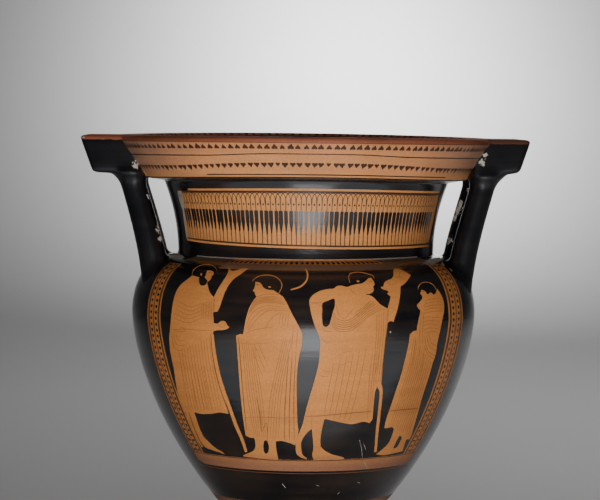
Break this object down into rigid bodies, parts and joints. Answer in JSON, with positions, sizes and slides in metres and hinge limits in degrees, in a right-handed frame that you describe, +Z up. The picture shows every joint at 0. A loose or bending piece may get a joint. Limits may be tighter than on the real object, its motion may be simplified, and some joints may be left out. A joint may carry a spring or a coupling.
{
  "type": "column krater",
  "caption": "Greek red-figure column krater: deep footed bowl with neck, overhanging lip and two handles, each of paired columns under a flat plate.",
  "frame": {"origin": "middle of the foot's underside, on the surface it stands on", "axes": "+Z up along the turning axis, +X through the handles, the painted front faces -Y"},
  "size_m": [0.4184, 0.356, 0.4183],
  "materials": {
    "black_gloss_pottery": "burnished black gloss over orange clay, figures reserved in the clay colour, worn at the rim"
  },
  "bodies": {
    "root": {"krater": "black_gloss_pottery"}
  },
  "joints": []
}
